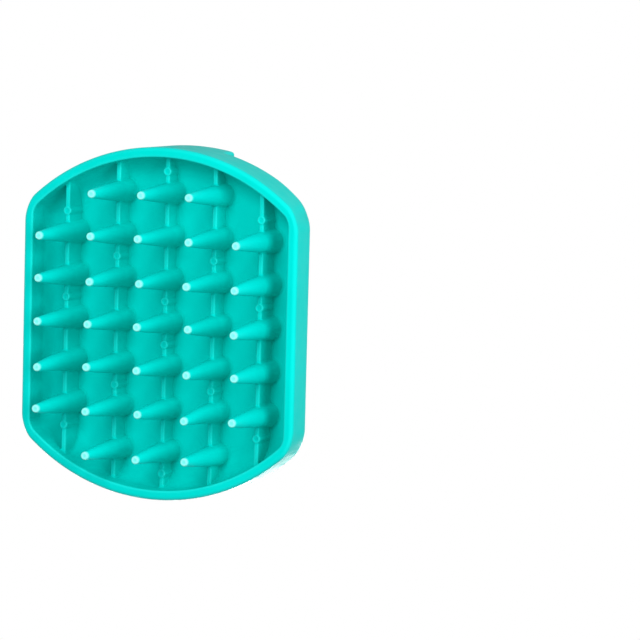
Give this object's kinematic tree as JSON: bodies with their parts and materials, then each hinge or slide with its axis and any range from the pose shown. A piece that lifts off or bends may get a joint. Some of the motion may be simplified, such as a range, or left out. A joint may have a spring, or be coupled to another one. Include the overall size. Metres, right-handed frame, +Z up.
{
  "type": "rubber curry brush",
  "caption": "Moulded rubber curry brush: a shallow tray of tapered cone teeth on one face and an arched hand strap across the back.",
  "frame": {"origin": "on the ground under the middle of the brush, at the level of the lowest tooth tips", "axes": "+Z up through the back to the strap, with the teeth pointing down; +Y along the strap, which is the longest side; +X across the brush to one flat side"},
  "size_m": [0.081, 0.096, 0.0474],
  "materials": {
    "teal_rubber": "satin, slightly translucent moulded rubber"
  },
  "bodies": {
    "tray": {"shell": "teal_rubber", "strap_root_front": "teal_rubber", "strap_root_rear": "teal_rubber", "rib_1": "teal_rubber", "rib_2": "teal_rubber", "rib_3": "teal_rubber", "rib_4": "teal_rubber", "rib_5": "teal_rubber"},
    "strap": {"strap_band": "teal_rubber"},
    "column_1": {"tooth_1_2": "teal_rubber", "tooth_1_3": "teal_rubber", "tooth_1_4": "teal_rubber", "tooth_1_5": "teal_rubber", "tooth_1_6": "teal_rubber"},
    "column_2": {"tooth_2_1": "teal_rubber", "tooth_2_2": "teal_rubber", "tooth_2_3": "teal_rubber", "tooth_2_4": "teal_rubber", "tooth_2_5": "teal_rubber", "tooth_2_6": "teal_rubber", "tooth_2_7": "teal_rubber"},
    "column_3": {"tooth_3_1": "teal_rubber", "tooth_3_2": "teal_rubber", "tooth_3_3": "teal_rubber", "tooth_3_4": "teal_rubber", "tooth_3_5": "teal_rubber", "tooth_3_6": "teal_rubber", "tooth_3_7": "teal_rubber"},
    "column_4": {"tooth_4_1": "teal_rubber", "tooth_4_2": "teal_rubber", "tooth_4_3": "teal_rubber", "tooth_4_4": "teal_rubber", "tooth_4_5": "teal_rubber", "tooth_4_6": "teal_rubber", "tooth_4_7": "teal_rubber"},
    "column_5": {"tooth_5_2": "teal_rubber", "tooth_5_3": "teal_rubber", "tooth_5_4": "teal_rubber", "tooth_5_5": "teal_rubber", "tooth_5_6": "teal_rubber"}
  },
  "joints": [
    {"name": "strap_lift", "type": "slide", "parent": "tray", "child": "strap", "axis": [0, 0, 1], "range_m": [-0.003, 0.005], "stiffness_N_per_m": 300},
    {"name": "column_1_sway", "type": "hinge", "parent": "tray", "child": "column_1", "pos_m": [-0.0288, 0, 0.01672], "axis": [0, 1, 0], "range_deg": [-15, 15], "stiffness_Nm_per_rad": 0.03},
    {"name": "column_2_sway", "type": "hinge", "parent": "tray", "child": "column_2", "pos_m": [-0.0144, 0, 0.01841], "axis": [0, 1, 0], "range_deg": [-15, 15], "stiffness_Nm_per_rad": 0.04},
    {"name": "column_3_sway", "type": "hinge", "parent": "tray", "child": "column_3", "pos_m": [0, 0, 0.01897], "axis": [0, 1, 0], "range_deg": [-15, 15], "stiffness_Nm_per_rad": 0.04},
    {"name": "column_4_sway", "type": "hinge", "parent": "tray", "child": "column_4", "pos_m": [0.0144, 0, 0.01841], "axis": [0, 1, 0], "range_deg": [-15, 15], "stiffness_Nm_per_rad": 0.04},
    {"name": "column_5_sway", "type": "hinge", "parent": "tray", "child": "column_5", "pos_m": [0.0288, 0, 0.01672], "axis": [0, 1, 0], "range_deg": [-15, 15], "stiffness_Nm_per_rad": 0.03}
  ]
}
